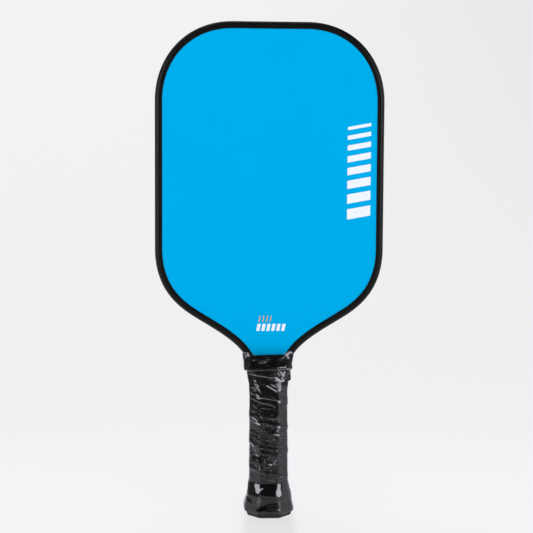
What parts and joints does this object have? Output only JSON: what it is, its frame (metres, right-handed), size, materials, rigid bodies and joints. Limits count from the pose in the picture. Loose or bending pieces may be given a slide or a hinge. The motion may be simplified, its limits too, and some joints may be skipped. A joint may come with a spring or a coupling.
{
  "type": "pickleball paddle",
  "caption": "Flat rigid pickleball paddle with a rounded rectangular honeycomb head, moulded edge guard, cushioned octagonal handle, rubber collar and flared butt cap.",
  "frame": {"origin": "centre of the butt cap's flat bottom, in the paddle's middle plane", "axes": "+Z along the handle towards the head's top, X across the head's width, and the front face looks along -Y"},
  "size_m": [0.192, 0.0382, 0.416],
  "materials": {
    "core": "milky polypropylene honeycomb",
    "bond_film": "cured adhesive film",
    "face_laminate": "fibre laminate sheet",
    "printed_film": "matte cyan blue print with a fine grit",
    "edge_guard": "satin black moulding",
    "handle_moulding": "plain moulding",
    "butt_cap": "satin black moulding",
    "badge": "gloss domed badge with no mark",
    "staple_steel": "plain wire",
    "grip_wrap": "cushioned synthetic leather, charcoal",
    "tape": "black vinyl tape",
    "collar_rubber": "black moulded rubber",
    "clear_film": "clear crinkled packing film"
  },
  "bodies": {
    "root": {"honeycomb_core": "core", "front_bond_film": "bond_film", "back_bond_film": "bond_film", "front_face_sheet": "face_laminate", "back_face_sheet": "face_laminate", "front_printed_film": "printed_film", "back_printed_film": "printed_film", "edge_guard": "edge_guard", "front_handle_half": "handle_moulding", "back_handle_half": "handle_moulding", "butt_cap": "butt_cap", "butt_cap_badge": "badge", "cap_staple_right": "staple_steel", "cap_staple_left": "staple_steel", "wrap_staple": "staple_steel", "grip_wrap": "grip_wrap", "finishing_tape": "tape", "grip_collar": "collar_rubber", "handle_film": "clear_film"}
  },
  "joints": []
}
